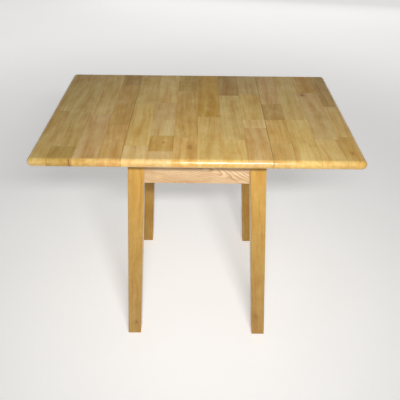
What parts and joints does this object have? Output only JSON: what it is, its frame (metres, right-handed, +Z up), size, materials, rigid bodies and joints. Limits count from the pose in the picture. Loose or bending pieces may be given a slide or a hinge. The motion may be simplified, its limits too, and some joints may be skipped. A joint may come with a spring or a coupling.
{
  "type": "drop leaf table",
  "caption": "Small hardwood table on splayed square legs, with a stave top whose two side leaves drop on hinges and are held up by folding stays.",
  "frame": {"origin": "on the floor under the middle of the top", "axes": "+Z up, +X across the leaves to the right seen from the front, front faces -Y"},
  "size_m": [0.914, 0.6, 0.75],
  "materials": {
    "top_staves": "clear lacquer over edge-glued light hardwood staves, satin",
    "leg_wood": "clear lacquer, satin",
    "apron_wood": "clear lacquer, satin",
    "block_wood": "bare sawn wood",
    "hinge_steel": "zinc plated, satin",
    "stay_steel": "zinc plated, satin",
    "zinc_fasteners": "bright zinc plated",
    "glide_nylon": "moulded, matt"
  },
  "bodies": {
    "frame": {"angle_bracket_screws": "zinc_fasteners", "bolt_nuts": "zinc_fasteners", "bolt_washers": "zinc_fasteners", "corner_block_screws": "zinc_fasteners", "foot_glides": "glide_nylon", "front_apron": "apron_wood", "front_left_corner_block": "block_wood", "front_left_leg": "leg_wood", "front_right_corner_block": "block_wood", "front_right_leg": "leg_wood", "hanger_bolts": "zinc_fasteners", "hinge_table_screws": "zinc_fasteners", "left_apron": "apron_wood", "left_front_hinge_pin": "hinge_steel", "left_front_hinge_table_plate": "hinge_steel", "left_rear_hinge_pin": "hinge_steel", "left_rear_hinge_table_plate": "hinge_steel", "left_stay_apron_bracket": "stay_steel", "left_stay_apron_rivet": "zinc_fasteners", "rear_apron": "apron_wood", "rear_left_corner_block": "block_wood", "rear_left_leg": "leg_wood", "rear_right_corner_block": "block_wood", "rear_right_leg": "leg_wood", "right_apron": "apron_wood", "right_front_hinge_pin": "hinge_steel", "right_front_hinge_table_plate": "hinge_steel", "right_rear_hinge_pin": "hinge_steel", "right_rear_hinge_table_plate": "hinge_steel", "right_stay_apron_bracket": "stay_steel", "right_stay_apron_rivet": "zinc_fasteners", "stay_apron_screws": "zinc_fasteners", "top_angle_brackets": "zinc_fasteners", "top_panel": "top_staves"},
    "right_leaf": {"right_front_hinge_leaf_plate": "hinge_steel", "right_hinge_leaf_screws": "zinc_fasteners", "right_leaf": "top_staves", "right_rear_hinge_leaf_plate": "hinge_steel", "right_stay_leaf_bracket": "stay_steel", "right_stay_leaf_rivet": "zinc_fasteners", "right_stay_leaf_screws": "zinc_fasteners"},
    "left_leaf": {"left_front_hinge_leaf_plate": "hinge_steel", "left_hinge_leaf_screws": "zinc_fasteners", "left_leaf": "top_staves", "left_rear_hinge_leaf_plate": "hinge_steel", "left_stay_leaf_bracket": "stay_steel", "left_stay_leaf_rivet": "zinc_fasteners", "left_stay_leaf_screws": "zinc_fasteners"},
    "right_lower_arm": {"right_stay_lower_arm": "stay_steel", "right_stay_lower_elbow_rivet": "zinc_fasteners"},
    "right_upper_arm": {"right_stay_upper_arm": "stay_steel", "right_stay_upper_elbow_rivet": "zinc_fasteners"},
    "left_lower_arm": {"left_stay_lower_arm": "stay_steel", "left_stay_lower_elbow_rivet": "zinc_fasteners"},
    "left_upper_arm": {"left_stay_upper_arm": "stay_steel", "left_stay_upper_elbow_rivet": "zinc_fasteners"}
  },
  "joints": [
    {"name": "right_leaf_drop", "type": "hinge", "parent": "frame", "child": "right_leaf", "pos_m": [0.2043, 0, 0.7205], "axis": [0, 1, 0], "range_deg": [0, 88.5]},
    {"name": "right_stay_apron_pivot", "type": "hinge", "parent": "frame", "child": "right_lower_arm", "pos_m": [0.1945, 0, 0.674], "axis": [0, 1, 0], "range_deg": [0, 91.5]},
    {"name": "right_stay_leaf_pivot", "type": "hinge", "parent": "right_leaf", "child": "right_upper_arm", "pos_m": [0.3893, 0, 0.7145], "axis": [0, -1, 0], "range_deg": [0, 95.8]},
    {"name": "left_leaf_drop", "type": "hinge", "parent": "frame", "child": "left_leaf", "pos_m": [-0.2043, 0, 0.7205], "axis": [0, -1, 0], "range_deg": [0, 88.5]},
    {"name": "left_stay_apron_pivot", "type": "hinge", "parent": "frame", "child": "left_lower_arm", "pos_m": [-0.1945, 0, 0.674], "axis": [0, -1, 0], "range_deg": [0, 91.5]},
    {"name": "left_stay_leaf_pivot", "type": "hinge", "parent": "left_leaf", "child": "left_upper_arm", "pos_m": [-0.3893, 0, 0.7145], "axis": [0, 1, 0], "range_deg": [0, 95.8]}
  ],
  "couplings": [
    {"joint": "right_stay_apron_pivot", "follows": "right_leaf_drop", "ratio": 1.0329},
    {"joint": "right_stay_leaf_pivot", "follows": "right_leaf_drop", "ratio": 1.0813},
    {"joint": "left_stay_apron_pivot", "follows": "left_leaf_drop", "ratio": 1.0329},
    {"joint": "left_stay_leaf_pivot", "follows": "left_leaf_drop", "ratio": 1.0813}
  ]
}
